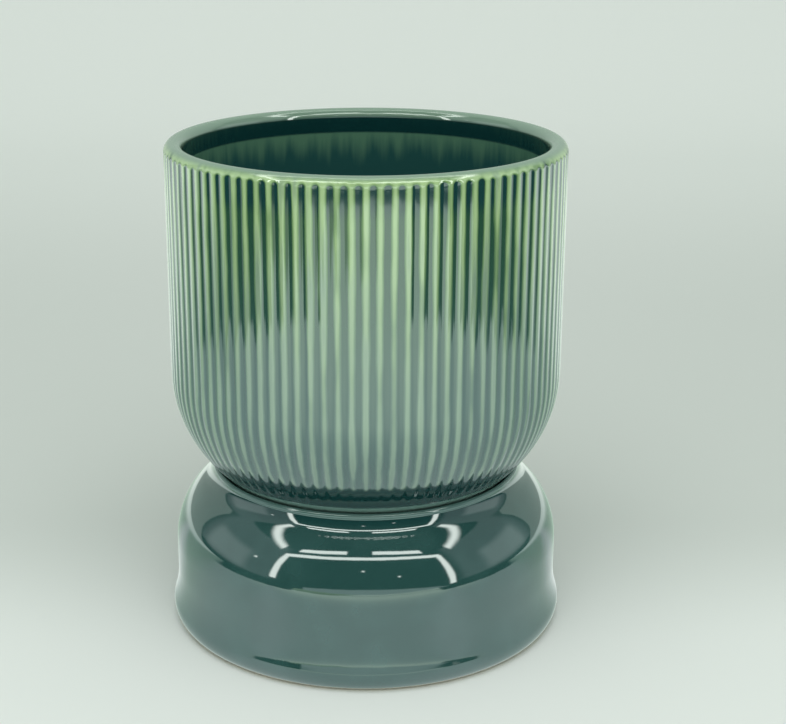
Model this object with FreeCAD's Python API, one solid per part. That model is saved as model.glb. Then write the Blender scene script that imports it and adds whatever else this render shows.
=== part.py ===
"""Footed planter: a fluted ceramic pot seated in a hollow drum-shaped pedestal.

Millimetres, +Z up. The origin is on the ground, on the axis of the planter.
"""
import FreeCAD
import Part
import math
import os

# The pot and the drum of the pedestal share one outside radius
PLANTER_RADIUS = 100.0

# Pot
POT_HEIGHT = 180.0  # from the underside of its foot to the top of its rim
POT_WALL = 9.5  # the rim is rounded over its full width
POT_CORNER_RADIUS = 70.0  # outside bend between the wall and the foot
POT_INNER_CORNER_RADIUS = 45.0  # inside bend between the wall and the floor
POT_FOOT_WIDTH = 9.9  # width of the ring that the pot stands on
POT_FOOT_EDGE = 1.0  # rounded edges of that ring
POT_FOOT_RECESS = 4.0  # hollow in the underside, inside the foot
POT_FLOOR_THICKNESS = 10.0
POT_FOOT_CLEARANCE = 1.2  # between the foot and the mouth of the pedestal
POT_LIP_GAP = 0.7  # between the corner bend and the lip of the pedestal

# Flutes of the pot
WEDGE_COUNT = 14  # equal wedges that the pot is made of
WEDGE_FLUTES = 7  # grooves in each wedge
FLUTE_RADIUS = 2.5  # roundness of a groove across
FLUTE_DEPTH = 1.25
FLUTE_TOP_GAP = 0.25  # plain wall between the rounding of the rim and the tops of the grooves
FLUTE_BEND_DEGREES = 33.0  # how far round the corner bend a groove goes before it runs out

# Drain hole in the pot's floor, and its plug
DRAIN_RADIUS = 8.0
PLUG_SEAT_RADIUS = 14.0
PLUG_SEAT_DEPTH = 3.0
PLUG_SUNK = 0.4  # how far the top of the plug lies below the floor
PLUG_CLEARANCE = 0.3  # round the stem and the flange
PLUG_TIP_REACH = 3.0  # how far the stem reaches below the underside of the floor
PLUG_STEM_TAPER = 0.6  # how much smaller the stem's radius is at its lower end
PLUG_EDGE = 0.8  # rounded edges of the flange and the stem
PLUG_DISH_RADIUS = 9.5  # finger hollow in the top of the plug
PLUG_DISH_DEPTH = 1.6
PLUG_BAR_WIDTH = 4.0  # grip left standing across the finger hollow

# Soft ring between the pot and the pedestal
RING_THICKNESS = 2.0
RING_WIDTH = 9.4
RING_EDGE = 0.5
RING_CLEARANCE = 0.4  # to the mouth of the pedestal

# Pedestal
BASE_WALL = 8.0
BASE_DRUM_HEIGHT = 40.8  # from the underside of the foot up to the start of the shoulder
BASE_SHOULDER_RADIUS = 41.0
BASE_COVE_RADIUS = 14.5
BASE_COVE_INSET = 20.7  # from the drum's straight side in to where the cove would stand upright
BASE_COVE_END_DEGREES = 15.0  # how far short of upright the cove ends
BASE_LIP_WIDTH = 3.0  # rounded over its full width
BASE_LIP_START_DEGREES = 36.0  # how far below its widest line the lip's rounding starts
BASE_GALLERY_DEPTH = 13.8  # from the top of the lip down to the ledge that carries the pot
BASE_GALLERY_WIDTH = 11.6
BASE_GALLERY_THICKNESS = 6.0
BASE_FLOOR_THICKNESS = 7.0
BASE_FLOOR_FILLET = 10.0
BASE_FOOT_WIDTH = 16.0
BASE_FOOT_RECESS = 3.0  # hollow in the underside, inside the foot

# Bead round the foot of the pedestal
BEAD_PROUD = 2.8  # how far it stands out from the drum
BEAD_RADIUS = 9.0
BEAD_SETBACK = 3.1  # how far the edge of the foot lies inside the bead's widest line
BEAD_BLEND = 18.0  # height of the hollow curve from the widest line up to the drum

# Felt pads under the foot
PAD_COUNT = 4
PAD_RADIUS = 6.0
PAD_THICKNESS = 1.2
PAD_EDGE = 0.3

# How far a cutting solid runs past what it cuts
OVERRUN = 1.0
# Points closer together than this count as one when the grooves are cut
MERGE = 0.001

HALF_TURN = math.pi
QUARTER_TURN = HALF_TURN / 2
FULL_TURN_DEGREES = 360.0
FRONT_DEGREES = -90.0  # the side that is seen first
ORIGIN = FreeCAD.Vector(0, 0, 0)
UP = FreeCAD.Vector(0, 0, 1)
SIDEWAYS = FreeCAD.Vector(0, 1, 0)


def leg(long_side, short_side):
    """The third side of a triangle with a right angle."""
    return math.sqrt(long_side ** 2 - short_side ** 2)


# Heights and radii of the pedestal, from the ground up
base_bottom = PAD_THICKNESS
base_underside = base_bottom + BASE_FOOT_RECESS
base_floor = base_underside + BASE_FLOOR_THICKNESS
bead_center_r = PLANTER_RADIUS + BEAD_PROUD - BEAD_RADIUS
bead_z = base_bottom + leg(BEAD_RADIUS, BEAD_RADIUS - BEAD_SETBACK)
base_foot_radius = PLANTER_RADIUS + BEAD_PROUD - BEAD_SETBACK
drum_top = base_bottom + BASE_DRUM_HEIGHT

# The shoulder and the cove touch on the line between their centres
shoulder_center_r = PLANTER_RADIUS - BASE_SHOULDER_RADIUS
cove_center_r = PLANTER_RADIUS - BASE_COVE_INSET + BASE_COVE_RADIUS
cove_out = cove_center_r - shoulder_center_r
cove_z = drum_top + leg(BASE_SHOULDER_RADIUS + BASE_COVE_RADIUS, cove_out)

# The lip is a thin roll that starts where the cove ends
cove_end = math.radians(BASE_COVE_END_DEGREES)
lip_start = -math.radians(BASE_LIP_START_DEGREES)
lip_radius = BASE_LIP_WIDTH / 2
lip_center_r = cove_center_r - BASE_COVE_RADIUS * math.cos(cove_end) - lip_radius * math.cos(lip_start)
lip_z = cove_z - BASE_COVE_RADIUS * math.sin(cove_end) - lip_radius * math.sin(lip_start)
mouth_radius = lip_center_r - lip_radius
gallery_z = lip_z + lip_radius - BASE_GALLERY_DEPTH

# The pot stands on the soft ring in the gallery, and its corner bend clears the lip
pot_bottom = gallery_z + RING_THICKNESS
pot_top = pot_bottom + POT_HEIGHT
pot_underside = pot_bottom + POT_FOOT_RECESS
pot_floor = pot_underside + POT_FLOOR_THICKNESS
plug_seat_z = pot_floor - PLUG_SEAT_DEPTH
pot_foot_radius = mouth_radius - POT_FOOT_CLEARANCE
corner_center_r = PLANTER_RADIUS - POT_CORNER_RADIUS
corner_z = lip_z + leg(POT_CORNER_RADIUS + POT_LIP_GAP + lip_radius, lip_center_r - corner_center_r)


def at(radius, height):
    """A point of a profile, in the plane that is turned round the axis."""
    return FreeCAD.Vector(radius, 0, height)


def arc(center, radius, start, end):
    """A circular stretch of a profile between two angles in radians, from outwards towards upwards."""
    points = []
    for angle in (start, (start + end) / 2, end):
        points.append(center + at(radius * math.cos(angle), radius * math.sin(angle)))
    return Part.Arc(*points).toShape()


def first_point(piece):
    if isinstance(piece, FreeCAD.Vector):
        return piece
    return piece.Vertexes[0].Point


def last_point(piece):
    if isinstance(piece, FreeCAD.Vector):
        return piece
    return piece.Vertexes[-1].Point


def turned(pieces, degrees=FULL_TURN_DEGREES):
    """Turn a closed profile round the axis. Straight lines join its points and its arcs in order."""
    edges = []
    previous = last_point(pieces[-1])
    for piece in pieces:
        start = first_point(piece)
        if not start.isEqual(previous, Part.Vertex(start).Tolerance):
            edges.append(Part.LineSegment(previous, start).toShape())
        if not isinstance(piece, FreeCAD.Vector):
            edges.append(piece)
        previous = last_point(piece)
    face = Part.Face(Part.Wire(edges))
    return face.revolve(ORIGIN, UP, degrees)


def copies_round(shape, count, step, first):
    """Copies of a shape, turned round the axis by equal steps in degrees."""
    copies = []
    for index in range(count):
        copy = shape.copy()
        copy.rotate(ORIGIN, UP, first + index * step)
        copies.append(copy)
    return copies


def pot_blank(degrees):
    """A wedge of the pot before its flutes are cut."""
    foot_inner_radius = pot_foot_radius - POT_FOOT_WIDTH
    inner_edge = at(foot_inner_radius + POT_FOOT_EDGE, pot_bottom + POT_FOOT_EDGE)
    outer_edge = at(pot_foot_radius - POT_FOOT_EDGE, pot_bottom + POT_FOOT_EDGE)
    foot_out = pot_foot_radius - corner_center_r
    foot_angle = -math.acos(foot_out / POT_CORNER_RADIUS)
    rim_radius = POT_WALL / 2
    rim = at(PLANTER_RADIUS - rim_radius, pot_top - rim_radius)
    inner_corner_r = PLANTER_RADIUS - POT_WALL - POT_INNER_CORNER_RADIUS
    inner_corner = at(inner_corner_r, pot_floor + POT_INNER_CORNER_RADIUS)
    return turned([
        at(DRAIN_RADIUS, plug_seat_z),
        at(DRAIN_RADIUS, pot_underside),
        at(foot_inner_radius, pot_underside),
        arc(inner_edge, POT_FOOT_EDGE, HALF_TURN, HALF_TURN + QUARTER_TURN),
        arc(outer_edge, POT_FOOT_EDGE, -QUARTER_TURN, 0),
        arc(at(corner_center_r, corner_z), POT_CORNER_RADIUS, foot_angle, 0),
        arc(rim, rim_radius, 0, HALF_TURN),
        arc(inner_corner, POT_INNER_CORNER_RADIUS, 0, -QUARTER_TURN),
        at(PLUG_SEAT_RADIUS, pot_floor),
        at(PLUG_SEAT_RADIUS, plug_seat_z),
    ], degrees)


def flute_cutter():
    """One groove: an arched top, straight down the wall, round the corner, then a straight run-out."""
    # The middle of the groove's roundness lies outside the wall
    middle_out = FLUTE_RADIUS - FLUTE_DEPTH
    half_width = leg(FLUTE_RADIUS, middle_out)
    arch_z = pot_top - POT_WALL / 2 - FLUTE_TOP_GAP - half_width
    corner = at(corner_center_r, corner_z)
    start = at(PLANTER_RADIUS + middle_out, corner_z)
    straight = turned([
        at(0, corner_z),
        at(FLUTE_RADIUS, corner_z),
        arc(at(0, arch_z), FLUTE_RADIUS, 0, QUARTER_TURN),
    ])
    straight.translate(at(PLANTER_RADIUS + middle_out, 0))
    section = Part.Face(Part.Wire(Part.makeCircle(FLUTE_RADIUS, start, UP)))
    bend = section.revolve(corner, SIDEWAYS, FLUTE_BEND_DEGREES)
    # The run-out leaves the bend at a tangent, and ends clear of the pot
    clear = POT_CORNER_RADIUS + FLUTE_RADIUS + OVERRUN
    run_out_length = leg(clear, POT_CORNER_RADIUS + middle_out)
    run_out = Part.makeCylinder(FLUTE_RADIUS, run_out_length, start, -UP)
    run_out.rotate(corner, SIDEWAYS, FLUTE_BEND_DEGREES)
    return straight.fuse([bend, run_out])


def fluted_pot():
    """Equal wedges, each with its share of the grooves. Wedges meet on a crest, and one faces the front."""
    wedge_step = FULL_TURN_DEGREES / WEDGE_COUNT
    flute_step = wedge_step / WEDGE_FLUTES
    cutters = copies_round(flute_cutter(), WEDGE_FLUTES, flute_step, flute_step / 2)
    wedge = pot_blank(wedge_step).cut(cutters, MERGE)
    wedges = copies_round(wedge, WEDGE_COUNT, wedge_step, FRONT_DEGREES)
    return wedges[0].fuse(wedges[1:]).removeSplitter()


def drain_plug():
    """A soft plug whose flange lies sunk in the pot's floor, with a grip across a finger hollow."""
    flange_radius = PLUG_SEAT_RADIUS - PLUG_CLEARANCE
    stem_radius = DRAIN_RADIUS - PLUG_CLEARANCE
    tip_radius = stem_radius - PLUG_STEM_TAPER
    tip_z = pot_underside - PLUG_TIP_REACH
    top_z = pot_floor - PLUG_SUNK
    body = turned([
        at(0, tip_z),
        arc(at(tip_radius - PLUG_EDGE, tip_z + PLUG_EDGE), PLUG_EDGE, -QUARTER_TURN, 0),
        at(stem_radius, plug_seat_z),
        at(flange_radius, plug_seat_z),
        arc(at(flange_radius - PLUG_EDGE, top_z - PLUG_EDGE), PLUG_EDGE, 0, QUARTER_TURN),
        at(0, top_z),
    ])
    dish_z = top_z - PLUG_DISH_DEPTH
    dish = Part.makeCylinder(PLUG_DISH_RADIUS, PLUG_DISH_DEPTH + OVERRUN, at(0, dish_z))
    bar_length = 2 * flange_radius
    bar = Part.makeBox(bar_length, PLUG_BAR_WIDTH, PLUG_DISH_DEPTH + OVERRUN)
    bar.translate(FreeCAD.Vector(-bar_length / 2, -PLUG_BAR_WIDTH / 2, dish_z))
    return body.cut(dish.cut(bar))


def seat_ring():
    """A flat ring with rounded edges, lying in the gallery under the foot of the pot."""
    outer = mouth_radius - RING_CLEARANCE
    outer_center_r = outer - RING_EDGE
    inner_center_r = outer - RING_WIDTH + RING_EDGE
    low = gallery_z + RING_EDGE
    high = pot_bottom - RING_EDGE
    return turned([
        arc(at(outer_center_r, low), RING_EDGE, -QUARTER_TURN, 0),
        arc(at(outer_center_r, high), RING_EDGE, 0, QUARTER_TURN),
        arc(at(inner_center_r, high), RING_EDGE, QUARTER_TURN, HALF_TURN),
        arc(at(inner_center_r, low), RING_EDGE, HALF_TURN, HALF_TURN + QUARTER_TURN),
    ])


def pedestal_base():
    """A squat jar: closed floor, drum, in-curved shoulder, thin lip, and a ledge inside for the pot."""
    bead = at(bead_center_r, bead_z)
    bead_start = -math.acos((BEAD_RADIUS - BEAD_SETBACK) / BEAD_RADIUS)
    # The hollow blend touches the bead and the drum
    blend_reach = (BEAD_PROUD ** 2 + BEAD_BLEND ** 2) / (2 * BEAD_PROUD)
    blend_radius = blend_reach - BEAD_RADIUS
    blend = at(PLANTER_RADIUS + blend_radius, bead_z + BEAD_BLEND)
    blend_angle = math.atan2(BEAD_BLEND, blend_reach - BEAD_PROUD)
    shoulder = at(shoulder_center_r, drum_top)
    cove_angle = math.atan2(cove_z - drum_top, cove_out)
    inner_shoulder_radius = BASE_SHOULDER_RADIUS - BASE_WALL
    gallery_inner_radius = mouth_radius - BASE_GALLERY_WIDTH
    ledge_underside = gallery_z - BASE_GALLERY_THICKNESS
    ledge_angle = math.asin((ledge_underside - drum_top) / inner_shoulder_radius)
    fillet_center_r = PLANTER_RADIUS - BASE_WALL - BASE_FLOOR_FILLET
    foot_inner_radius = base_foot_radius - BASE_FOOT_WIDTH
    return turned([
        at(0, base_underside),
        at(foot_inner_radius, base_underside),
        at(foot_inner_radius, base_bottom),
        arc(bead, BEAD_RADIUS, bead_start, blend_angle),
        arc(blend, blend_radius, HALF_TURN + blend_angle, HALF_TURN),
        arc(shoulder, BASE_SHOULDER_RADIUS, 0, cove_angle),
        arc(at(cove_center_r, cove_z), BASE_COVE_RADIUS, HALF_TURN + cove_angle, HALF_TURN + cove_end),
        arc(at(lip_center_r, lip_z), lip_radius, lip_start, HALF_TURN),
        at(mouth_radius, gallery_z),
        at(gallery_inner_radius, gallery_z),
        at(gallery_inner_radius, ledge_underside),
        arc(shoulder, inner_shoulder_radius, ledge_angle, 0),
        arc(at(fillet_center_r, base_floor + BASE_FLOOR_FILLET), BASE_FLOOR_FILLET, 0, -QUARTER_TURN),
        at(0, base_floor),
    ])


def foot_pad():
    """A felt disc under the middle of the pedestal's foot."""
    pad = turned([
        at(0, 0),
        arc(at(PAD_RADIUS - PAD_EDGE, PAD_EDGE), PAD_EDGE, -QUARTER_TURN, 0),
        at(PAD_RADIUS, PAD_THICKNESS),
        at(0, PAD_THICKNESS),
    ])
    pad.translate(at(base_foot_radius - BASE_FOOT_WIDTH / 2, 0))
    return pad


def all_parts():
    parts = {
        "pedestal_base": pedestal_base(),
        "seat_ring": seat_ring(),
        "fluted_pot": fluted_pot(),
        "drain_plug": drain_plug(),
    }
    pad_step = FULL_TURN_DEGREES / PAD_COUNT
    for index, pad in enumerate(copies_round(foot_pad(), PAD_COUNT, pad_step, pad_step / 2)):
        parts[f"foot_pad_{index + 1}"] = pad
    return parts


os.makedirs("parts", exist_ok=True)
for name, shape in all_parts().items():
    state = "valid" if shape.isValid() else "not valid"
    print(name, state, "solids:", len(shape.Solids), "volume:", round(shape.Volume))
    shape.exportStep(f"parts/{name}.step")
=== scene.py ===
"""Footed planter: the looks of the fluted pot, its pedestal and the small parts between them.

Lengths are in millimetres, and become metres where meshes, lamps and the camera are made.
"""
import math

import bpy
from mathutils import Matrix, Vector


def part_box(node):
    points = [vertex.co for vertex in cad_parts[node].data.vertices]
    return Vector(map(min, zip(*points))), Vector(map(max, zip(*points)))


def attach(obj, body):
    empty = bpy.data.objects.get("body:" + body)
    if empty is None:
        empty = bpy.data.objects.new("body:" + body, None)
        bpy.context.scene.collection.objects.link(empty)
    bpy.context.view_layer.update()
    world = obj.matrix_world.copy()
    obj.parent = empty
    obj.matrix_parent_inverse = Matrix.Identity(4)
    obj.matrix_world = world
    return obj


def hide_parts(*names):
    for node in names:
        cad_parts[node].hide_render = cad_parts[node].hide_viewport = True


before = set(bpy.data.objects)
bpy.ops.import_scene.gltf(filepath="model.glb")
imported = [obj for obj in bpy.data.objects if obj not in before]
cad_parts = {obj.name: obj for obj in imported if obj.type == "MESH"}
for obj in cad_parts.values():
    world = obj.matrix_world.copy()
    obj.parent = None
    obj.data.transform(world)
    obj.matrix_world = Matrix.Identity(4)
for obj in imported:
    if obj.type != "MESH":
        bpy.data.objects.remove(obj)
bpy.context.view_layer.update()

MM = 0.001
PLANTER_RADIUS = 100.0

# Pot
POT_WALL = 9.5
POT_CORNER_RADIUS = 70.0
POT_CORNER_RISE = 63.71  # from the underside of the foot up to the centre of the corner bend
POT_INNER_CORNER_RADIUS = 45.0
POT_FOOT_RADIUS = 75.88
POT_FOOT_WIDTH = 9.9
POT_FOOT_EDGE = 1.0
POT_FOOT_RECESS = 4.0
POT_FLOOR_THICKNESS = 10.0
DRAIN_RADIUS = 8.0
PLUG_SEAT_RADIUS = 14.0
PLUG_SEAT_DEPTH = 3.0
SOFT_EDGE = 0.7  # glaze rounds off the edges of the drain hole

# Flutes: rounded grooves between broad flat ribs
FLUTE_COUNT = 98
FLUTE_DEPTH = 0.45  # to the glaze that lies in the groove
FLUTE_BED = 0.1  # half the width of a groove's flat bottom
FLUTE_REACH = 2.9  # half the width of a groove at its lip
FLUTE_TOP_GAP = 5.0  # from the top of the rim down to the middle of a groove's arched end
FLUTE_TOP_DEGREES = 28.0  # how far up the rounding of the rim a groove's arched end may reach
FLUTE_BEND_DEGREES = 33.0
FLUTE_FADE_DEGREES = 11.0
RIB_CROWN = 0.1  # how far the middle of a rib stands out from its edges
RIB_COLUMNS = 12

# Pedestal
BASE_WALL = 8.0
BASE_DRUM_HEIGHT = 40.8
BASE_SHOULDER_RADIUS = 41.0
BASE_COVE_RADIUS = 14.5
BASE_COVE_INSET = 20.7
BASE_COVE_END_DEGREES = 15.0
BASE_LIP_RADIUS = 1.5
BASE_LIP_START_DEGREES = 36.0
BASE_GALLERY_DEPTH = 13.8
BASE_GALLERY_WIDTH = 11.6
BASE_GALLERY_THICKNESS = 6.0
BASE_FLOOR_THICKNESS = 7.0
BASE_FLOOR_FILLET = 10.0
BASE_FOOT_WIDTH = 16.0
BASE_FOOT_RECESS = 3.0
BASE_FOOT_EDGE = 0.8
BEAD_PROUD = 2.8
BEAD_RADIUS = 9.0
BEAD_SETBACK = 3.1
BEAD_BLEND = 18.0
BASE_COLUMNS = 320

SHARP_DEGREES = 50.0  # edges that turn by more than this stay crisp

# Small parts
RING_WIDTH = 9.4
RING_EDGE = 0.5
RING_COLUMNS = 240
PLUG_EDGE = 0.8
PLUG_FLANGE = 13.7
PLUG_STEM = 7.7
PLUG_TIP = 7.1
PLUG_DISH_RADIUS = 9.5
PLUG_DISH_DEPTH = 1.6
PLUG_BAR_WIDTH = 4.0
PLUG_SOFTNESS = 0.5  # width of the rounded steps round the finger hollow
PLUG_COLUMNS = 180
PAD_COUNT = 4
PAD_EDGE = 0.3
PAD_COLUMNS = 72
PAD_FRAY_WAVES = (17, 29)  # waves round the cut edge of a felt pad
PAD_FRAY_SHARE = 0.02

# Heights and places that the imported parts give
pot_low, pot_high = (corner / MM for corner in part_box("fluted_pot"))
base_low, base_high = (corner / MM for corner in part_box("pedestal_base"))
ring_low, ring_high = (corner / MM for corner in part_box("seat_ring"))
plug_low, plug_high = (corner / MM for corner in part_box("drain_plug"))

FULL_TURN = 2 * math.pi
RIM_RADIUS = POT_WALL / 2
pot_underside = pot_low.z + POT_FOOT_RECESS
pot_floor = pot_underside + POT_FLOOR_THICKNESS
corner_z = pot_low.z + POT_CORNER_RISE
rim_z = pot_high.z - RIM_RADIUS
arch_z = pot_high.z - FLUTE_TOP_GAP


def rgb(red, green, blue):
    """A colour as a screen shows it, 0 to 255 a channel, as the linear colour that shaders take."""
    linear = []
    for channel in (red, green, blue):
        share = channel / 255
        linear.append(share / 12.92 if share < 0.04045 else ((share + 0.055) / 1.055) ** 2.4)
    return (*linear, 1.0)


# Colours, as a screen shows them
CREST_HIGH = rgb(176, 204, 146)
CREST_LOW = rgb(134, 157, 134)
MIDDLE_HIGH = rgb(112, 144, 88)
MIDDLE_LOW = rgb(86, 112, 98)
POOL_HIGH = rgb(36, 70, 42)
POOL_LOW = rgb(50, 80, 74)
# The deepest teal, for pooled glaze and also for painted shade and painted dark reflections
POOL_DEEP_AND_PAINTED_SHADE = rgb(12, 48, 48)
FOOT_PAINTED_REFLECTION = rgb(122, 154, 146)
RIM_GREY = rgb(114, 138, 118)
OLIVE = rgb(82, 122, 98)
INSIDE_DEEP_GLAZE_AND_SHADE = rgb(36, 79, 76)
BISQUE = rgb(198, 184, 160)
BASE_DARK = rgb(35, 65, 62)
BASE_LIGHT = rgb(45, 75, 72)
BASE_LIP = rgb(66, 96, 90)
SILICONE = rgb(176, 180, 174)
SILICONE_DUST = rgb(150, 152, 146)
PLUG_BLACK = rgb(46, 48, 48)
PLUG_DUST = rgb(70, 72, 70)
FELT_DARK = rgb(70, 66, 60)
FELT_LIGHT = rgb(120, 114, 104)

# Glaze
GLAZE_IOR = 2.2
GLAZE_SHEEN = (0.8, 0.97, 1.0, 1.0)
GLAZE_ROUGHNESS = 0.05
RIM_ROUGHNESS = 0.25
BISQUE_ROUGHNESS = 0.8
CLOUD_SIZE = 22.0  # of the patches where the glaze lies a little thicker
CLOUD_STRETCH = 2.0  # how much taller than wide they are on the pot
STREAK_SIZE = 5.0  # across the runs of the glaze
STREAK_STRETCH = 12.0
GREEN_WAVER = 200.0  # how unevenly the pale green runs down the crests
UNEVEN_SHARE = 0.9  # how much those patches and runs shift the colours between crest and groove
THIN_SHARES = (-0.05, 0.36)  # of a groove's depth, between the crest's colour and the middle one
THICK_SHARES = (0.28, 0.72)  # and on to the colour of the pooled glaze
BASE_CLOUD_SHARES = (0.4, 0.7)
WAVE_SIZE = 9.0  # of the soft waves in the glaze
POT_WAVE_STRETCH = 3.0
POT_WAVE_DEPTH = 0.09
COVE_DARK_HEIGHT = 6.0  # of the cove that is darkened with painted shade, under the overhang of the pot
LIP_FADE = 0.6
BASE_WAVE_SIZE = 14.0
BASE_WAVE_DEPTH = 0.05
BARE_HEIGHT = 1.6  # of the unglazed edge that the pot stands on
RIM_GREY_DROP = 3.0  # from the top of the rim down to the end of its grey
BAND_START = 5.0  # from the top of the rim down to the dark band inside it, a painted reflection of the dark inside of the pot
BAND_END = 12.0
BAND_FADE = 1.5
RUNS_END = 28.0  # from the top of the rim down to the end of the olive runs inside it; below them the colour darkens, partly deeper glaze and partly painted shade
RUNS_WAVER = 24.0
DARK_FOOT_TOP = 30.5  # from the underside of the pot up to where its dark foot ends: partly darker glaze, partly painted shade between pot and pedestal
DARK_FOOT_FADE = 3.0
PALE_FOOT_START = 10.5  # a pale ring between these two heights, above the lip: painted reflection in the shaded gap between pot and pedestal
PALE_FOOT_TOP = 15.5
PALE_FOOT_FADE = 0.8
FOOT_SHADE_SHARE = 0.3  # how much darker the corner bend gets above that, painted shade where less light reaches the underside
DARK_REFLECTION_LENGTH = 16.0  # of the painted dark reflection in the tops of the grooves

# Rubber and felt
DUST_SIZE = 3.0
DUST_DETAIL = 4.0  # finer layers of noise
DUST_ROUGHNESS_SHARE = 0.6  # strength of each of those layers, of the one before
DUST_SHARES = (0.45, 0.75)
RUBBER_ROUGHNESS = 0.55
RUBBER_GRAIN = 0.4
RUBBER_GRAIN_DEPTH = 0.03
FIBRE_SIZE = 0.35
FIBRE_DETAIL = 6.0
FIBRE_ROUGHNESS_SHARE = 0.7
FIBRE_SHARES = (0.35, 0.65)
FIBRE_DEPTH = 0.25
FELT_ROUGHNESS = 0.95
FELT_SHEEN = 0.4

# Studio: a pale sweep
FLOOR_HALF_WIDTH = 4000.0
FLOOR_FRONT = 5000.0
SWEEP_START = 1300.0
SWEEP_RADIUS = 900.0
SWEEP_TOP = 3000.0
FLOOR_NEAR = rgb(229, 234, 230)
# The floor behind the planter is darker here with painted shade
FLOOR_MIDDLE_PAINTED_SHADE = rgb(207, 213, 208)
FLOOR_FAR = rgb(233, 238, 234)
NEAR_END = -60.0
MIDDLE_START = 120.0
MIDDLE_END = 500.0
FAR_START = 1700.0
LIFT_START = -100.0  # to the eye the backdrop is a little paler than its light makes it
LIFT_END = 1200.0
LIFT_STRENGTH = 0.16

# What the gloss shows of the floor: the pale bottom of a light box, and dim floor outside it
BOX_SIDE = 610.0
BOX_CORNER = 1000.0  # at the front the box is cut off askew: across and ahead add up to this
OPENING_SPREAD_SHARE = 0.87  # how far the pale floor in the front opening widens for each length ahead
OPENING_END = 1207.0  # from the axis
GAP_END = 1310.0  # beyond the end of the opening the floor is dim, up to here
GAP_SOFT = 20.0
EDGE_SOFT = 30.0
EDGE_WAVER = 120.0
EDGE_SIZE = 70.0
BESIDE_START = -70.0
BESIDE_END = 60.0
BEHIND_START = 180.0
BEHIND_END = 420.0
PALE = (0.82, 0.94, 0.88, 1.0)
FAR_PALE = (1.42, 1.54, 1.3, 1.0)
FAR_PALE_START = 150.0
FAR_PALE_END = 600.0
LEFT_PALE = (0.7, 0.88, 0.58, 1.0)  # far ahead on the left
LEFT_FROM = 850.0
LEFT_SIDE = -340.0
BESIDE = (0.6, 0.79, 0.64, 1.0)
BEHIND = (1.5, 1.64, 1.5, 1.0)
BACKDROP = (0.6, 0.7, 0.62, 1.0)
BACKDROP_START = 950.0
BACKDROP_END = 1250.0
SHEEN = (0.95, 1.05, 1.0, 1.0)  # the upright lamp strips, in the sheen of the floor
SHEEN_OFFSET = 43.0  # from the axis to the line on the floor
SHEEN_HALF = 45.0
DIM = (0.05, 0.15, 0.13, 1.0)

# What the gloss shows above the floor, in degrees to the right of the front and degrees up
STRIP_UP = 48.3  # lamp strip over the front opening, at its middle
STRIP_SAG = 0.0035  # how much lower it lies, in degrees for each square degree aside
STRIP_HALF = 1.9
STRIP_SPAN = (-57.0, 52.5)
LEG_HALF = 2.0
LEG_SPANS = ((-55.3, 6.0), (51.0, 1.5))  # upright strips: how far aside, and where each starts
LEG_TOP = 39.0
BAR_SPANS = ((-51.0, -16.0), (6.0, 44.0))  # lamp bars above the strip
BAR_RISE = 8.0
BAR_HALF = 2.3
SIDE_BAR_START = 63.0
SIDE_BAR_LOW = 21.2
SIDE_BAR_CLIMB = 0.37
SIDE_BAR_HALF = 2.6
SIDE_BAR_SOFT = 2.2
LAMP_SOFT = 0.8
LAMP_LIGHT = (5.4, 4.9, 4.5, 1.0)
SILL_UP = 6.0
SILL_SAG = 0.0028
SILL_SPAN = (-36.0, 51.0)
SIDE_WALL = (57.0, 117.0)
SIDE_WALL_UP = (3.0, 46.0)
SIDE_WALL_GREY = (0.33, 0.42, 0.4, 1.0)
SIDE_PALE = (76.0, 110.0)
SIDE_PALE_UP = (4.0, 26.0)
SIDE_PALE_GREY = (0.75, 0.83, 0.79, 1.0)
WALL_SOFT = 4.0
BACK_START = 114.0
BACK_END = 135.0
BACK_PALE = (0.5, 0.6, 0.53, 1.0)
SPOTS = ((-72.0, 22.0), (-2.0, 31.0), (20.0, 22.0))  # small lamps
SPOT_HALF = 0.9

# Light
WORLD_COLOR = rgb(235, 242, 237)
WORLD_STRENGTH = 0.68
HORIZON_STRENGTH = 0.52  # as dim as the far floor, where the eye sees past it
LAMP_SIZE = 1300.0  # one large soft lamp, above and in front
LAMP_HEIGHT = 1300.0
LAMP_FORWARD = 700.0
LAMP_TILT_DEGREES = 25.0
LAMP_POWER = 12.0

# Camera, fitted to the photo's rim and foot
CAMERA_AWAY = 796.0
CAMERA_HEIGHT = 392.2
CAMERA_DOWN_DEGREES = 17.88
CAMERA_LENS = 74.02
CAMERA_CLIP = 10.0
PHOTO_WIDTH_PIXELS = 786
AXIS_PIXEL = 365.9


def smooth(value, low, high):
    """0 below low, 1 above high, and a soft step between."""
    share = min(max((value - low) / (high - low), 0), 1)
    return share * share * (3 - 2 * share)


def line(start, end, steps):
    """Points of a straight stretch of a profile, each (radius, height)."""
    points = []
    for step in range(steps + 1):
        share = step / steps
        points.append((start[0] + (end[0] - start[0]) * share, start[1] + (end[1] - start[1]) * share))
    return points


def arc(center, radius, start, end, steps):
    """Points of a round stretch of a profile. Degrees run from outwards towards upwards."""
    points = []
    for step in range(steps + 1):
        angle = math.radians(start + (end - start) * step / steps)
        points.append((center[0] + radius * math.cos(angle), center[1] + radius * math.sin(angle)))
    return points


def joined(*stretches):
    """One profile of several stretches, with points that fall together left out."""
    points = []
    for stretch in stretches:
        for point in stretch:
            if not points or math.dist(point, points[-1]) > MM:
                points.append(point)
    return points


def even_turns(count):
    return [FULL_TURN * index / count for index in range(count)]


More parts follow.
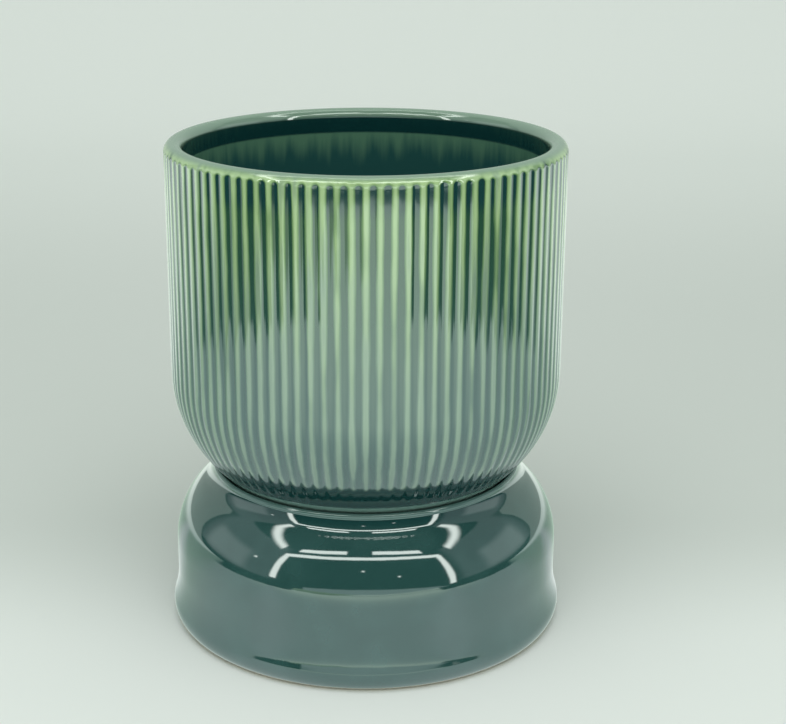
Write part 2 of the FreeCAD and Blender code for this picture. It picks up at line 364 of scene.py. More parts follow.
def lathe(name, profile, turns, closed=False, shape=None, values=(), sharp_degrees=SHARP_DEGREES):
    """A mesh turned from a profile. shape(row, turn, x, y, z) may move a point and gives its values."""
    places = []
    rows = []
    kept = {value: [] for value in values}
    for row, (radius, height) in enumerate(profile):
        indices = []
        for turn in turns if radius > 0 else turns[:1]:
            place = (radius * math.cos(turn), radius * math.sin(turn), height)
            if shape:
                place, found = shape(row, turn, *place)
                for value, amount in zip(values, found):
                    kept[value].append(amount)
            indices.append(len(places))
            places.append([length * MM for length in place])
        rows.append(indices if radius > 0 else indices * len(turns))
    faces = []
    pairs = list(zip(rows, rows[1:]))
    if closed:
        pairs.append((rows[-1], rows[0]))
    for lower, upper in pairs:
        for index in range(len(turns)):
            after = (index + 1) % len(turns)
            face = []
            for corner in (lower[index], lower[after], upper[after], upper[index]):
                if corner not in face:
                    face.append(corner)
            faces.append(face)
    mesh = bpy.data.meshes.new(name)
    mesh.from_pydata(places, [], faces)
    for value in values:
        mesh.attributes.new(value, "FLOAT", "POINT").data.foreach_set("value", kept[value])
    mesh.shade_smooth()
    mesh.set_sharp_from_angle(angle=math.radians(sharp_degrees))
    piece = bpy.data.objects.new(name, mesh)
    bpy.context.scene.collection.objects.link(piece)
    return piece


def dress(piece, body, node, material):
    """Let a piece stand for a CAD node, ride on its body and take its finish."""
    piece.data.materials.append(material)
    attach(piece, body)
    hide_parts(node)


def link(tree, source, target):
    """Join a node's output to a socket, or set the socket to a plain value."""
    if isinstance(source, bpy.types.NodeSocket):
        tree.links.new(source, target)
    else:
        target.default_value = source


def add(tree, kind, **settings):
    node = tree.nodes.new(kind)
    for name, value in settings.items():
        setattr(node, name, value)
    return node


def maths(tree, operation, first, second=0.0):
    node = add(tree, "ShaderNodeMath", operation=operation)
    link(tree, first, node.inputs[0])
    link(tree, second, node.inputs[1])
    return node.outputs[0]


def step_of(tree, value, low, high):
    """0 where a value is below low, 1 above high, and a soft step between. Low may lie above high."""
    node = add(tree, "ShaderNodeMapRange", interpolation_type="SMOOTHSTEP")
    link(tree, value, node.inputs["Value"])
    backwards = low > high
    node.inputs["From Min"].default_value = min(low, high)
    node.inputs["From Max"].default_value = max(low, high)
    node.inputs["To Min"].default_value = float(backwards)
    node.inputs["To Max"].default_value = float(not backwards)
    return node.outputs["Result"]


def all_of(tree, *masks):
    result = masks[0]
    for mask in masks[1:]:
        result = maths(tree, "MULTIPLY", result, mask)
    return result


def any_of(tree, *masks):
    result = masks[0]
    for mask in masks[1:]:
        result = maths(tree, "MAXIMUM", result, mask)
    return result


def between(tree, value, span, soft):
    """1 inside a span and 0 outside it, with soft ends."""
    low, high = span
    after = step_of(tree, value, low - soft, low + soft)
    before = step_of(tree, value, high + soft, high - soft)
    return all_of(tree, after, before)


def either_side_of(tree, value, half, soft):
    """1 where a value is within half of 0."""
    return between(tree, value, (-half, half), soft)


def blend(tree, share, first, second):
    """A mix of two colours."""
    node = add(tree, "ShaderNodeMix", data_type="RGBA")
    colors = [socket for socket in node.inputs if socket.type == "RGBA"]
    link(tree, share, node.inputs["Factor"])
    link(tree, first, colors[0])
    link(tree, second, colors[1])
    return [socket for socket in node.outputs if socket.type == "RGBA"][0]


def mixed(tree, share, first, second):
    """A mix of two numbers."""
    node = add(tree, "ShaderNodeMapRange")
    link(tree, share, node.inputs["Value"])
    link(tree, first, node.inputs["To Min"])
    link(tree, second, node.inputs["To Max"])
    return node.outputs["Result"]


def noise(tree, place, size, detail=2.0, roughness=0.5):
    """Soft noise with features of about this size in millimetres."""
    node = add(tree, "ShaderNodeTexNoise")
    link(tree, place, node.inputs["Vector"])
    node.inputs["Scale"].default_value = 1 / (size * MM)
    node.inputs["Detail"].default_value = detail
    node.inputs["Roughness"].default_value = roughness
    return node.outputs["Fac"]


class Surface:
    """A new material with one Principled shader, and the places on the object that its nodes use."""

    def __init__(self, name):
        self.material = bpy.data.materials.new(name)
        self.material.use_nodes = True
        self.tree = self.material.node_tree
        self.shader = self.tree.nodes["Principled BSDF"]
        self.place = add(self.tree, "ShaderNodeTexCoord").outputs["Object"]
        split = add(self.tree, "ShaderNodeSeparateXYZ")
        link(self.tree, self.place, split.inputs[0])
        self.height = maths(self.tree, "DIVIDE", split.outputs["Z"], MM)

    def attribute(self, name):
        return add(self.tree, "ShaderNodeAttribute", attribute_name=name).outputs["Fac"]

    def stretched(self, times):
        """The same places, with everything on them drawn out upwards."""
        node = add(self.tree, "ShaderNodeVectorMath", operation="MULTIPLY")
        link(self.tree, self.place, node.inputs[0])
        node.inputs[1].default_value = (1, 1, 1 / times)
        return node.outputs[0]

    def set(self, **values):
        for name, value in values.items():
            link(self.tree, value, self.shader.inputs[name.replace("_", " ")])

    def bump(self, height, depth):
        """Raise the surface by height, which runs from 0 to 1, times depth in millimetres."""
        node = add(self.tree, "ShaderNodeBump")
        node.inputs["Distance"].default_value = depth * MM
        link(self.tree, height, node.inputs["Height"])
        link(self.tree, node.outputs[0], self.shader.inputs["Normal"])


def pot_glaze():
    """Dark teal where the glaze lies thick in the grooves, breaking to pale green on crests and rim. Painted
    dark reflections fill the groove tops and a band inside the rim, painted shade darkens the bend, the foot
    and the inside lower down, and a painted pale reflection rings the foot above the lip.
    """
    look = Surface("pot_glaze")
    tree = look.tree
    top = pot_high.z
    cloud = noise(tree, look.stretched(CLOUD_STRETCH), CLOUD_SIZE)
    streak = noise(tree, look.stretched(STREAK_STRETCH), STREAK_SIZE)
    centred = maths(tree, "SUBTRACT", maths(tree, "ADD", cloud, streak), 1.0)
    depth = maths(tree, "ADD", look.attribute("groove"), maths(tree, "MULTIPLY", centred, UNEVEN_SHARE))
    up = step_of(tree, look.height, corner_z, top)
    green = maths(tree, "ADD", look.height, maths(tree, "MULTIPLY", centred, GREEN_WAVER))
    crest = blend(tree, step_of(tree, green, corner_z, top), CREST_LOW, CREST_HIGH)
    middle = blend(tree, up, MIDDLE_LOW, MIDDLE_HIGH)
    pool = blend(tree, up, POOL_LOW, POOL_HIGH)
    outside = blend(tree, step_of(tree, depth, *THIN_SHARES), crest, middle)
    thick = step_of(tree, depth, *THICK_SHARES)
    outside = blend(tree, thick, outside, pool)
    # Painted reflection: the tops of the grooves are darkened where they mirror the dark room in front
    dark_reflection_top = step_of(tree, look.height, arch_z - DARK_REFLECTION_LENGTH, arch_z - DARK_REFLECTION_LENGTH / 2)
    outside = blend(tree, all_of(tree, thick, dark_reflection_top), outside, POOL_DEEP_AND_PAINTED_SHADE)
    on_rim = step_of(tree, look.height, top - RIM_GREY_DROP, top)
    outside = blend(tree, on_rim, outside, RIM_GREY)
    foot_top = pot_low.z + DARK_FOOT_TOP
    # Painted shade: the corner bend darkens towards the underside
    shade = maths(tree, "MULTIPLY", step_of(tree, look.height, corner_z, foot_top), FOOT_SHADE_SHARE)
    outside = blend(tree, shade, outside, POOL_DEEP_AND_PAINTED_SHADE)
    # The dark foot is partly darker glaze and partly painted shade between pot and pedestal
    on_foot = step_of(tree, look.height, foot_top, foot_top - DARK_FOOT_FADE)
    outside = blend(tree, on_foot, outside, POOL_DEEP_AND_PAINTED_SHADE)
    # Painted reflection: a pale ring on the foot, in the shaded gap just above the lip
    painted_reflection_span = (pot_low.z + PALE_FOOT_START, pot_low.z + PALE_FOOT_TOP)
    outside = blend(tree, between(tree, look.height, painted_reflection_span, PALE_FOOT_FADE), outside, FOOT_PAINTED_REFLECTION)
    waver = maths(tree, "MULTIPLY", maths(tree, "SUBTRACT", streak, 0.5), RUNS_WAVER)
    runs = maths(tree, "ADD", look.height, waver)
    band_end = top - BAND_END
    # Olive glaze runs near the top, darkening deeper inside with painted shade
    wall = blend(tree, step_of(tree, runs, top - RUNS_END, band_end), INSIDE_DEEP_GLAZE_AND_SHADE, OLIVE)
    # Painted reflection: a dark band just below the inside of the rim
    wall = blend(tree, step_of(tree, look.height, band_end - BAND_FADE, band_end), wall, POOL_DEEP_AND_PAINTED_SHADE)
    wall = blend(tree, step_of(tree, look.height, top - BAND_START, top - RIM_GREY_DROP), wall, RIM_GREY)
    color = blend(tree, look.attribute("inside"), outside, wall)
    bare = step_of(tree, look.height, pot_low.z + BARE_HEIGHT, pot_low.z + BARE_HEIGHT / 2)
    gloss = mixed(tree, on_rim, GLAZE_ROUGHNESS, RIM_ROUGHNESS)
    look.set(Base_Color=blend(tree, bare, color, BISQUE))
    look.set(Roughness=mixed(tree, bare, gloss, BISQUE_ROUGHNESS))
    look.set(IOR=GLAZE_IOR, Specular_Tint=GLAZE_SHEEN)
    look.bump(noise(tree, look.stretched(POT_WAVE_STRETCH), WAVE_SIZE), POT_WAVE_DEPTH)
    return look.material


def base_glaze():
    """The same dark teal glaze, thick all over, with painted shade in the cove under the pot."""
    look = Surface("base_glaze")
    tree = look.tree
    cloud = noise(tree, look.place, CLOUD_SIZE)
    color = blend(tree, step_of(tree, cloud, *BASE_CLOUD_SHARES), BASE_DARK, BASE_LIGHT)
    lip_low = base_high.z - 2 * BASE_LIP_RADIUS
    # Painted shade: the cove darkens under the overhang of the pot
    color = blend(tree, step_of(tree, look.height, lip_low - COVE_DARK_HEIGHT, lip_low), color, POOL_DEEP_AND_PAINTED_SHADE)
    color = blend(tree, step_of(tree, look.height, lip_low, lip_low + LIP_FADE), color, BASE_LIP)
    bare = step_of(tree, look.height, base_low.z + BASE_FOOT_EDGE, base_low.z)
    look.set(Base_Color=blend(tree, bare, color, BISQUE))
    look.set(Roughness=mixed(tree, bare, GLAZE_ROUGHNESS, BISQUE_ROUGHNESS))
    look.set(IOR=GLAZE_IOR, Specular_Tint=GLAZE_SHEEN)
    look.bump(noise(tree, look.place, BASE_WAVE_SIZE), BASE_WAVE_DEPTH)
    return look.material


def soft_rubber(name, color, shade):
    """Silicone: matt, with a faint grain and a little dust."""
    look = Surface(name)
    tree = look.tree
    dust = noise(tree, look.place, DUST_SIZE, DUST_DETAIL, DUST_ROUGHNESS_SHARE)
    look.set(Base_Color=blend(tree, step_of(tree, dust, *DUST_SHARES), color, shade))
    look.set(Roughness=RUBBER_ROUGHNESS)
    look.bump(noise(tree, look.place, RUBBER_GRAIN), RUBBER_GRAIN_DEPTH)
    return look.material


def felt():
    """Pressed wool: short fibres in two tones."""
    look = Surface("pad_felt")
    tree = look.tree
    fibre = noise(tree, look.place, FIBRE_SIZE, FIBRE_DETAIL, FIBRE_ROUGHNESS_SHARE)
    look.set(Base_Color=blend(tree, step_of(tree, fibre, *FIBRE_SHARES), FELT_DARK, FELT_LIGHT))
    look.set(Roughness=FELT_ROUGHNESS, Sheen_Weight=FELT_SHEEN)
    look.bump(fibre, FIBRE_DEPTH)
    return look.material


def make_pot():
    """The fluted pot: one closed skin, with rounded grooves that arch over below the rim."""
    foot_inner = POT_FOOT_RADIUS - POT_FOOT_WIDTH
    foot_center_z = pot_low.z + POT_FOOT_EDGE
    corner = (PLANTER_RADIUS - POT_CORNER_RADIUS, corner_z)
    foot_angle = -math.degrees(math.acos((POT_FOOT_RADIUS - corner[0]) / POT_CORNER_RADIUS))
    fade_end = -FLUTE_BEND_DEGREES - FLUTE_FADE_DEGREES
    rim = (PLANTER_RADIUS - RIM_RADIUS, rim_z)
    inner_radius = PLANTER_RADIUS - POT_WALL
    inner_corner = (inner_radius - POT_INNER_CORNER_RADIUS, pot_floor + POT_INNER_CORNER_RADIUS)
    seat_z = pot_floor - PLUG_SEAT_DEPTH
    bend = arc(corner, POT_CORNER_RADIUS, foot_angle, fade_end, 4)
    below = joined(
        line((DRAIN_RADIUS, seat_z), (DRAIN_RADIUS, pot_underside), 2),
        line((DRAIN_RADIUS, pot_underside), (foot_inner, pot_underside), 4),
        arc((foot_inner + POT_FOOT_EDGE, foot_center_z), POT_FOOT_EDGE, 180, 270, 4),
        arc((POT_FOOT_RADIUS - POT_FOOT_EDGE, foot_center_z), POT_FOOT_EDGE, -90, 0, 4),
        line((POT_FOOT_RADIUS, foot_center_z), bend[0], 2),
    )
    outside = joined(
        below,
        bend,
        arc(corner, POT_CORNER_RADIUS, fade_end, -FLUTE_BEND_DEGREES, 8),
        arc(corner, POT_CORNER_RADIUS, -FLUTE_BEND_DEGREES, 0, 14),
        line((PLANTER_RADIUS, corner_z), (PLANTER_RADIUS, arch_z - FLUTE_REACH), 8),
        line((PLANTER_RADIUS, arch_z - FLUTE_REACH), (PLANTER_RADIUS, arch_z), 3),
        line((PLANTER_RADIUS, arch_z), (PLANTER_RADIUS, rim_z), 1),
        arc(rim, RIM_RADIUS, 0, FLUTE_TOP_DEGREES, 9),
        arc(rim, RIM_RADIUS, FLUTE_TOP_DEGREES, 90, 8),
    )
    profile = joined(
        outside,
        arc(rim, RIM_RADIUS, 90, 180, 11),
        line((inner_radius, rim_z), (inner_radius, inner_corner[1]), 8),
        arc(inner_corner, POT_INNER_CORNER_RADIUS, 0, -90, 14),
        line((inner_corner[0], pot_floor), (PLUG_SEAT_RADIUS + SOFT_EDGE, pot_floor), 3),
        arc((PLUG_SEAT_RADIUS + SOFT_EDGE, pot_floor - SOFT_EDGE), SOFT_EDGE, 90, 180, 4),
        line((PLUG_SEAT_RADIUS, pot_floor - SOFT_EDGE), (PLUG_SEAT_RADIUS, seat_z), 1),
    )
    pitch_angle = FULL_TURN / FLUTE_COUNT

    def outward(radius, height):
        """The outward direction of the pot's skin below, on and above its straight wall."""
        if corner_z <= height <= rim_z:
            return 1.0, 0.0
        middle = corner if height < corner_z else rim
        length = math.dist(middle, (radius, height))
        return (radius - middle[0]) / length, (height - middle[1]) / length

    def carve(row, turn, x, y, z):
        radius = profile[row][0]
        if row >= len(outside):
            return (x, y, z), (0.0, 1.0)
        if row < len(below) or row == len(outside) - 1:
            return (x, y, z), (0.0, 0.0)
        out, up = outward(radius, z)
        bend_degrees = -math.degrees(math.asin(up))
        share = (turn / pitch_angle + FLUTE_COUNT / 4) % 1
        from_groove = abs(share - 0.5) * pitch_angle * radius
        rise = max(z - arch_z, 0)
        past = max(bend_degrees - FLUTE_BEND_DEGREES, 0) / FLUTE_FADE_DEGREES
        fade = max(1 - past * past, 0)
        cut = fade * (1 - smooth(math.hypot(from_groove, rise), FLUTE_BED, FLUTE_REACH))
        crown = fade * RIB_CROWN * (2 * min(share, 1 - share)) ** 2 * (1 - smooth(rise, 0, FLUTE_REACH))
        sink = cut * (FLUTE_DEPTH - RIB_CROWN) + crown
        lowered = radius - sink * out
        return (x * lowered / radius, y * lowered / radius, z - sink * up), (cut, 0.0)

    turns = []
    for index in range(FLUTE_COUNT):
        for column in range(RIB_COLUMNS):
            turns.append((index + column / RIB_COLUMNS) * pitch_angle - FULL_TURN / 4)
    piece = lathe("pot_body", profile, turns, True, carve, ("groove", "inside"))
    dress(piece, "pot", "fluted_pot", pot_glaze())


def make_base():
    """The pedestal: bead, drum, shoulder, cove, lip, and the ledge and basin inside."""
    underside = base_low.z + BASE_FOOT_RECESS
    floor = underside + BASE_FLOOR_THICKNESS
    bead = (PLANTER_RADIUS + BEAD_PROUD - BEAD_RADIUS,
            base_low.z + math.sqrt(BEAD_RADIUS ** 2 - (BEAD_RADIUS - BEAD_SETBACK) ** 2))
    bead_start = -math.degrees(math.acos((BEAD_RADIUS - BEAD_SETBACK) / BEAD_RADIUS))
    reach = (BEAD_PROUD ** 2 + BEAD_BLEND ** 2) / (2 * BEAD_PROUD)
    blend_angle = math.degrees(math.atan2(BEAD_BLEND, reach - BEAD_PROUD))
    blend_radius = reach - BEAD_RADIUS
    blend_z = bead[1] + BEAD_BLEND
    foot_radius = PLANTER_RADIUS + BEAD_PROUD - BEAD_SETBACK
    foot_inner = foot_radius - BASE_FOOT_WIDTH
    drum_top = base_low.z + BASE_DRUM_HEIGHT
    shoulder = (PLANTER_RADIUS - BASE_SHOULDER_RADIUS, drum_top)
    cove_r = PLANTER_RADIUS - BASE_COVE_INSET + BASE_COVE_RADIUS
    cove_rise = math.sqrt((BASE_SHOULDER_RADIUS + BASE_COVE_RADIUS) ** 2 - (cove_r - shoulder[0]) ** 2)
    cove = (cove_r, drum_top + cove_rise)
    cove_angle = math.degrees(math.atan2(cove_rise, cove_r - shoulder[0]))
    cove_end = arc(cove, BASE_COVE_RADIUS, 180, 180 + BASE_COVE_END_DEGREES, 1)[-1]
    lip_start = math.radians(BASE_LIP_START_DEGREES)
    lip = (cove_end[0] - BASE_LIP_RADIUS * math.cos(lip_start),
           cove_end[1] + BASE_LIP_RADIUS * math.sin(lip_start))
    mouth = lip[0] - BASE_LIP_RADIUS
    gallery = lip[1] + BASE_LIP_RADIUS - BASE_GALLERY_DEPTH
    gallery_inner = mouth - BASE_GALLERY_WIDTH
    ledge = gallery - BASE_GALLERY_THICKNESS
    inner_shoulder = BASE_SHOULDER_RADIUS - BASE_WALL
    ledge_angle = math.degrees(math.asin((ledge - drum_top) / inner_shoulder))
    ledge_r = shoulder[0] + inner_shoulder * math.cos(math.radians(ledge_angle))
    inner_radius = PLANTER_RADIUS - BASE_WALL
    fillet = (inner_radius - BASE_FLOOR_FILLET, floor + BASE_FLOOR_FILLET)
    profile = joined(
        line((0, underside), (foot_inner, underside), 4),
        line((foot_inner, underside), (foot_inner, base_low.z + BASE_FOOT_EDGE), 1),
        arc((foot_inner + BASE_FOOT_EDGE, base_low.z + BASE_FOOT_EDGE), BASE_FOOT_EDGE, 180, 270, 4),
        line((foot_inner + BASE_FOOT_EDGE, base_low.z), (foot_radius - BASE_FOOT_EDGE, base_low.z), 3),
        arc(bead, BEAD_RADIUS, bead_start, blend_angle, 18),
        arc((PLANTER_RADIUS + blend_radius, blend_z), blend_radius, 180 + blend_angle, 180, 12),
        line((PLANTER_RADIUS, blend_z), (PLANTER_RADIUS, drum_top), 8),
        arc(shoulder, BASE_SHOULDER_RADIUS, 0, cove_angle, 44),
        arc(cove, BASE_COVE_RADIUS, 180 + cove_angle, 180 + BASE_COVE_END_DEGREES, 22),
        arc(lip, BASE_LIP_RADIUS, -BASE_LIP_START_DEGREES, 180, 24),
        line((mouth, lip[1]), (mouth, gallery), 4),
        line((mouth, gallery), (gallery_inner, gallery), 3),
        line((gallery_inner, gallery), (gallery_inner, ledge), 2),
        line((gallery_inner, ledge), (ledge_r, ledge), 2),
        arc(shoulder, inner_shoulder, ledge_angle, 0, 12),
        line((inner_radius, drum_top), (inner_radius, fillet[1]), 3),
        arc(fillet, BASE_FLOOR_FILLET, 0, -90, 8),
        line((fillet[0], floor), (0, floor), 4),
    )
    piece = lathe("pedestal_body", profile, even_turns(BASE_COLUMNS))
    dress(piece, "base", "pedestal_base", base_glaze())


def make_ring():
    """The soft ring in the gallery, with rounded edges."""
    outer = ring_high.x - RING_EDGE
    inner = ring_high.x - RING_WIDTH + RING_EDGE
    low = ring_low.z + RING_EDGE
    high = ring_high.z - RING_EDGE
    profile = joined(
        arc((outer, low), RING_EDGE, -90, 0, 5),
        arc((outer, high), RING_EDGE, 0, 90, 5),
        arc((inner, high), RING_EDGE, 90, 180, 5),
        arc((inner, low), RING_EDGE, 180, 270, 5),
    )
    piece = lathe("seat_ring_soft", profile, even_turns(RING_COLUMNS), True)
    dress(piece, "seat", "seat_ring", soft_rubber("ring_silicone", SILICONE, SILICONE_DUST))


def make_plug():
    """The drain plug: a tapered stem, a flange, and a grip across a finger hollow."""
    top = plug_high.z
    low = plug_low.z
    seat_z = pot_floor - PLUG_SEAT_DEPTH
    profile = joined(
        line((0, low), (PLUG_TIP - PLUG_EDGE, low), 3),
        arc((PLUG_TIP - PLUG_EDGE, low + PLUG_EDGE), PLUG_EDGE, -90, 0, 5),
        line((PLUG_TIP, low + PLUG_EDGE), (PLUG_STEM, seat_z), 4),
        line((PLUG_STEM, seat_z), (PLUG_FLANGE, seat_z), 2),
        arc((PLUG_FLANGE - PLUG_EDGE, top - PLUG_EDGE), PLUG_EDGE, 0, 90, 5),
        line((PLUG_FLANGE - PLUG_EDGE, top), (0, top), 40),
    )
    dish_edge = (PLUG_DISH_RADIUS + PLUG_SOFTNESS, PLUG_DISH_RADIUS - PLUG_SOFTNESS)
    bar_edge = (PLUG_BAR_WIDTH / 2 + PLUG_SOFTNESS, PLUG_BAR_WIDTH / 2 - PLUG_SOFTNESS)

    def hollow(row, turn, x, y, z):
        if z < top - MM:
            return (x, y, z), ()
        dish = smooth(math.hypot(x, y), *dish_edge)
        bar = smooth(abs(y), *bar_edge)
        return (x, y, z - PLUG_DISH_DEPTH * dish * (1 - bar)), ()

    piece = lathe("drain_plug_soft", profile, even_turns(PLUG_COLUMNS), False, hollow)
    dress(piece, "plug", "drain_plug", soft_rubber("plug_silicone", PLUG_BLACK, PLUG_DUST))


def make_pad(node, name, material):
    """A felt disc under the foot, a little uneven at its edge."""
    low, high = (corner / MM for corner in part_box(node))
    radius = (high.x - low.x) / 2
    middle = (low + high) / 2
    profile = joined(
        line((0, low.z), (radius - PAD_EDGE, low.z), 6),
        arc((radius - PAD_EDGE, low.z + PAD_EDGE), PAD_EDGE, -90, 0, 4),
        arc((radius - PAD_EDGE, high.z - PAD_EDGE), PAD_EDGE, 0, 90, 4),
        line((radius - PAD_EDGE, high.z), (0, high.z), 6),
    )

    def fray(row, turn, x, y, z):
        first, second = PAD_FRAY_WAVES
        wave = 0.5 + 0.5 * math.sin(first * turn + middle.x) * math.sin(second * turn + row)
        shrink = 1 - PAD_FRAY_SHARE * wave
        return (middle.x + x * shrink, middle.y + y * shrink, z), ()

    piece = lathe(name, profile, even_turns(PAD_COLUMNS), False, fray)
    dress(piece, "base", node, material)


def make_pads():
    material = felt()
    for index in range(PAD_COUNT):
        make_pad(f"foot_pad_{index + 1}", f"felt_pad_{index + 1}", material)


def aside_degrees(tree, x, y):
    """How far a direction lies to the right of the front."""
    return maths(tree, "DEGREES", maths(tree, "ARCTAN2", x, maths(tree, "MULTIPLY", y, -1.0)))


def floor_in_gloss(tree, x, y, place):
    """The colour of the floor in the gloss of the glaze. The edge of the pale part is ragged."""
    ragged = maths(tree, "MULTIPLY", maths(tree, "SUBTRACT", noise(tree, place, EDGE_SIZE), 0.5), EDGE_WAVER)
    across = maths(tree, "ADD", maths(tree, "ABSOLUTE", x), ragged)
    ahead = maths(tree, "MULTIPLY", y, -1.0)
    skew = maths(tree, "ADD", across, maths(tree, "MAXIMUM", ahead, 0.0))
    box = all_of(tree, step_of(tree, across, BOX_SIDE + EDGE_SOFT, BOX_SIDE - EDGE_SOFT),
                 step_of(tree, skew, BOX_CORNER + EDGE_SOFT, BOX_CORNER - EDGE_SOFT))
    widening = maths(tree, "SUBTRACT", across, maths(tree, "MULTIPLY", ahead, OPENING_SPREAD_SHARE))
    squares = maths(tree, "ADD", maths(tree, "MULTIPLY", x, x), maths(tree, "MULTIPLY", y, y))
    away = maths(tree, "SQRT", squares)
    gap = between(tree, away, (OPENING_END, GAP_END), GAP_SOFT)
    opening = all_of(tree, step_of(tree, widening, EDGE_SOFT, -EDGE_SOFT), maths(tree, "SUBTRACT", 1.0, gap))
    level = step_of(tree, y, BESIDE_START, BESIDE_END)
    pale = blend(tree, level, PALE, BESIDE)
    pale = blend(tree, step_of(tree, ahead, FAR_PALE_START, FAR_PALE_END), pale, FAR_PALE)
    left = all_of(tree, step_of(tree, ahead, LEFT_FROM - EDGE_WAVER, LEFT_FROM),
                  step_of(tree, x, LEFT_SIDE + EDGE_WAVER, LEFT_SIDE))
    pale = blend(tree, left, pale, LEFT_PALE)
    for middle, _ in LEG_SPANS:
        turn = math.radians(middle)
        sideways = maths(tree, "ADD", maths(tree, "MULTIPLY", x, math.cos(turn)),
                         maths(tree, "MULTIPLY", y, math.sin(turn)))
        beside = maths(tree, "ABSOLUTE", maths(tree, "ADD", sideways, math.copysign(SHEEN_OFFSET, middle)))
        pale = blend(tree, step_of(tree, beside, SHEEN_HALF, 0.0), pale, SHEEN)
    behind = step_of(tree, y, BEHIND_START, BEHIND_END)
    pale = blend(tree, behind, pale, BEHIND)
    pale = blend(tree, step_of(tree, y, BACKDROP_START, BACKDROP_END), pale, BACKDROP)
    return blend(tree, any_of(tree, box, opening, level), DIM, pale)


def make_floor():
    """Floor and backdrop in one matt sweep, with a darker band of painted shade behind the planter. The
    gloss shows the floor of a light box instead.
    """
    profile = [(-FLOOR_FRONT, 0.0), (0.0, 0.0)]
    profile += arc((SWEEP_START, SWEEP_RADIUS), SWEEP_RADIUS, -90, 0, 24)
    profile.append((SWEEP_START + SWEEP_RADIUS, SWEEP_TOP))
    places = []
    for away, up in profile:
        for side in (-FLOOR_HALF_WIDTH, FLOOR_HALF_WIDTH):
            places.append((side * MM, away * MM, up * MM))
    faces = []
    for index in range(len(profile) - 1):
        faces.append((2 * index, 2 * index + 1, 2 * index + 3, 2 * index + 2))
    material = bpy.data.materials.new("floor_paper")
    material.use_nodes = True
    tree = material.node_tree
    shader = tree.nodes["Principled BSDF"]
    place = add(tree, "ShaderNodeNewGeometry").outputs["Position"]
    split = add(tree, "ShaderNodeSeparateXYZ")
    link(tree, place, split.inputs[0])
    x = maths(tree, "DIVIDE", split.outputs["X"], MM)
    y = maths(tree, "DIVIDE", split.outputs["Y"], MM)
    # Painted shade: a darker band of floor behind the planter
    color = blend(tree, step_of(tree, y, NEAR_END, MIDDLE_START), FLOOR_NEAR, FLOOR_MIDDLE_PAINTED_SHADE)
    color = blend(tree, step_of(tree, y, MIDDLE_END, FAR_START), color, FLOOR_FAR)
    link(tree, color, shader.inputs["Base Color"])
    shader.inputs["Roughness"].default_value = 1.0
    shader.inputs["Specular IOR Level"].default_value = 0.0
    shader.inputs["Emission Color"].default_value = FLOOR_FAR
    path = add(tree, "ShaderNodeLightPath")
    lift = all_of(tree, path.outputs["Is Camera Ray"], step_of(tree, y, LIFT_START, LIFT_END))
    link(tree, maths(tree, "MULTIPLY", lift, LIFT_STRENGTH), shader.inputs["Emission Strength"])
    mirrored = add(tree, "ShaderNodeEmission")
    link(tree, floor_in_gloss(tree, x, y, place), mirrored.inputs["Color"])
    mix = add(tree, "ShaderNodeMixShader")
    link(tree, path.outputs["Is Glossy Ray"], mix.inputs["Fac"])
    link(tree, shader.outputs[0], mix.inputs[1])
    link(tree, mirrored.outputs[0], mix.inputs[2])
    link(tree, mix.outputs[0], tree.nodes["Material Output"].inputs["Surface"])
    mesh = bpy.data.meshes.new("floor")
    mesh.from_pydata(places, [], faces)
    mesh.shade_smooth()
    mesh.materials.append(material)
    floor = bpy.data.objects.new("floor", mesh)
    bpy.context.scene.collection.objects.link(floor)


def lamps_in_gloss(tree, aside, up, on_strip):
    """Where the gloss shows lamps: a strip with two legs, bars above it, and bars along the sides."""
    across_strip = either_side_of(tree, on_strip, STRIP_HALF, LAMP_SOFT)
    lamps = [all_of(tree, across_strip, between(tree, aside, STRIP_SPAN, LAMP_SOFT))]
    for middle, low in LEG_SPANS:
        leg = between(tree, aside, (middle - LEG_HALF, middle + LEG_HALF), LAMP_SOFT)
        lamps.append(all_of(tree, leg, between(tree, up, (low, LEG_TOP), LAMP_SOFT)))
    across_bar = either_side_of(tree, maths(tree, "SUBTRACT", on_strip, BAR_RISE), BAR_HALF, LAMP_SOFT)
    for span in BAR_SPANS:
        lamps.append(all_of(tree, across_bar, between(tree, aside, span, LAMP_SOFT)))
    far_aside = maths(tree, "ABSOLUTE", aside)
    climb = maths(tree, "SUBTRACT", up, maths(tree, "MULTIPLY", far_aside, SIDE_BAR_CLIMB))
    across_side_bar = either_side_of(tree, maths(tree, "SUBTRACT", climb, SIDE_BAR_LOW), SIDE_BAR_HALF,
                                     SIDE_BAR_SOFT)
    beyond = step_of(tree, far_aside, SIDE_BAR_START - LAMP_SOFT, SIDE_BAR_START + LAMP_SOFT)
    lamps.append(all_of(tree, across_side_bar, beyond))
    for right, high in SPOTS:
        on_spot = either_side_of(tree, maths(tree, "SUBTRACT", aside, right), SPOT_HALF, LAMP_SOFT)
        level = either_side_of(tree, maths(tree, "SUBTRACT", up, high), SPOT_HALF, LAMP_SOFT)
        lamps.append(all_of(tree, on_spot, level))
    return any_of(tree, *lamps)


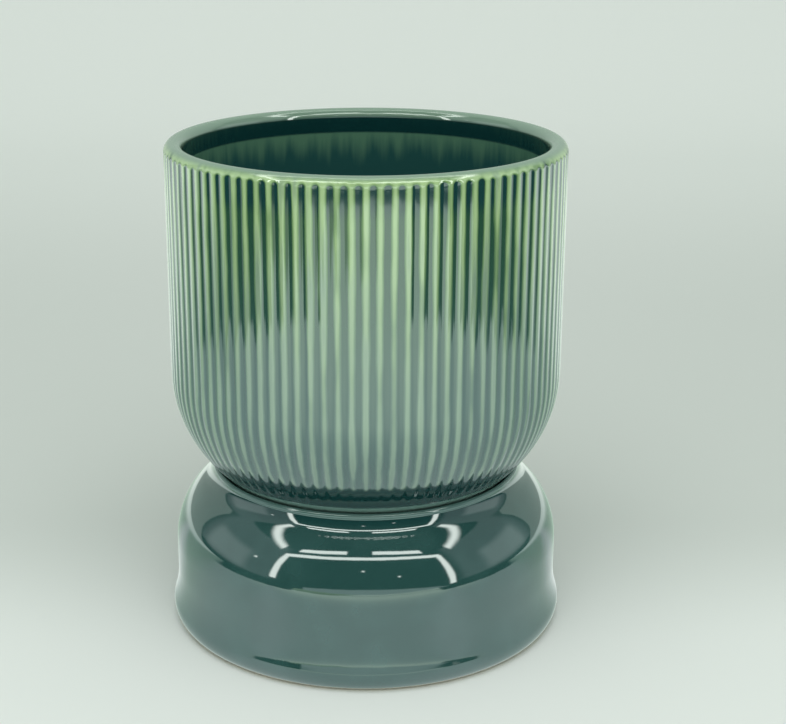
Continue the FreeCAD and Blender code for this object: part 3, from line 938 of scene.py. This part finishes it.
def make_world():
    """An even pale light. The gloss shows the inside of a light box instead, with its lamps."""
    world = bpy.data.worlds.new("studio")
    bpy.context.scene.world = world
    world.use_nodes = True
    tree = world.node_tree
    plain = tree.nodes["Background"]
    plain.inputs["Color"].default_value = WORLD_COLOR
    rays = add(tree, "ShaderNodeLightPath")
    strength = mixed(tree, rays.outputs["Is Camera Ray"], WORLD_STRENGTH, HORIZON_STRENGTH)
    link(tree, strength, plain.inputs["Strength"])
    split = add(tree, "ShaderNodeSeparateXYZ")
    link(tree, add(tree, "ShaderNodeTexCoord").outputs["Generated"], split.inputs[0])
    aside = aside_degrees(tree, split.outputs["X"], split.outputs["Y"])
    far_aside = maths(tree, "ABSOLUTE", aside)
    up = maths(tree, "DEGREES", maths(tree, "ARCSINE", split.outputs["Z"]))
    square = maths(tree, "MULTIPLY", aside, aside)

    def above(middle_up, sag):
        """Degrees above a line that sags to both sides."""
        sagging = maths(tree, "ADD", up, maths(tree, "MULTIPLY", square, sag))
        return maths(tree, "SUBTRACT", sagging, middle_up)

    on_strip = above(STRIP_UP, STRIP_SAG)
    on_sill = above(SILL_UP, SILL_SAG)
    wall = all_of(tree, between(tree, far_aside, SIDE_WALL, WALL_SOFT),
                  between(tree, up, SIDE_WALL_UP, LAMP_SOFT))
    lighter = all_of(tree, between(tree, far_aside, SIDE_PALE, WALL_SOFT),
                     between(tree, up, SIDE_PALE_UP, WALL_SOFT))
    sill = all_of(tree, step_of(tree, on_sill, LAMP_SOFT, -LAMP_SOFT),
                  between(tree, aside, SILL_SPAN, LAMP_SOFT))
    seen = blend(tree, wall, DIM, SIDE_WALL_GREY)
    seen = blend(tree, lighter, seen, SIDE_PALE_GREY)
    seen = blend(tree, step_of(tree, far_aside, BACK_START, BACK_END), seen, BACK_PALE)
    seen = blend(tree, sill, seen, PALE)
    seen = blend(tree, lamps_in_gloss(tree, aside, up, on_strip), seen, LAMP_LIGHT)
    mirrored = add(tree, "ShaderNodeBackground")
    link(tree, seen, mirrored.inputs["Color"])
    mix = add(tree, "ShaderNodeMixShader")
    link(tree, rays.outputs["Is Glossy Ray"], mix.inputs["Fac"])
    link(tree, plain.outputs[0], mix.inputs[1])
    link(tree, mirrored.outputs[0], mix.inputs[2])
    link(tree, mix.outputs[0], tree.nodes["World Output"].inputs["Surface"])


def make_lamp():
    data = bpy.data.lights.new("overhead", "AREA")
    data.shape = "SQUARE"
    data.size = LAMP_SIZE * MM
    data.energy = LAMP_POWER
    lamp = bpy.data.objects.new("overhead", data)
    lamp.location = (0, -LAMP_FORWARD * MM, LAMP_HEIGHT * MM)
    lamp.rotation_euler = (math.radians(LAMP_TILT_DEGREES), 0, 0)
    lamp.visible_glossy = False
    bpy.context.scene.collection.objects.link(lamp)


def make_camera():
    data = bpy.data.cameras.new("camera")
    data.lens = CAMERA_LENS
    data.shift_x = 0.5 - AXIS_PIXEL / PHOTO_WIDTH_PIXELS
    data.clip_start = CAMERA_CLIP * MM
    camera = bpy.data.objects.new("camera", data)
    camera.location = (0, -CAMERA_AWAY * MM, CAMERA_HEIGHT * MM)
    camera.rotation_euler = (math.radians(90 - CAMERA_DOWN_DEGREES), 0, 0)
    bpy.context.scene.collection.objects.link(camera)
    bpy.context.scene.camera = camera


make_pot()
make_base()
make_ring()
make_plug()
make_pads()
make_floor()
make_world()
make_lamp()
make_camera()
bpy.context.scene.view_settings.view_transform = "Standard"
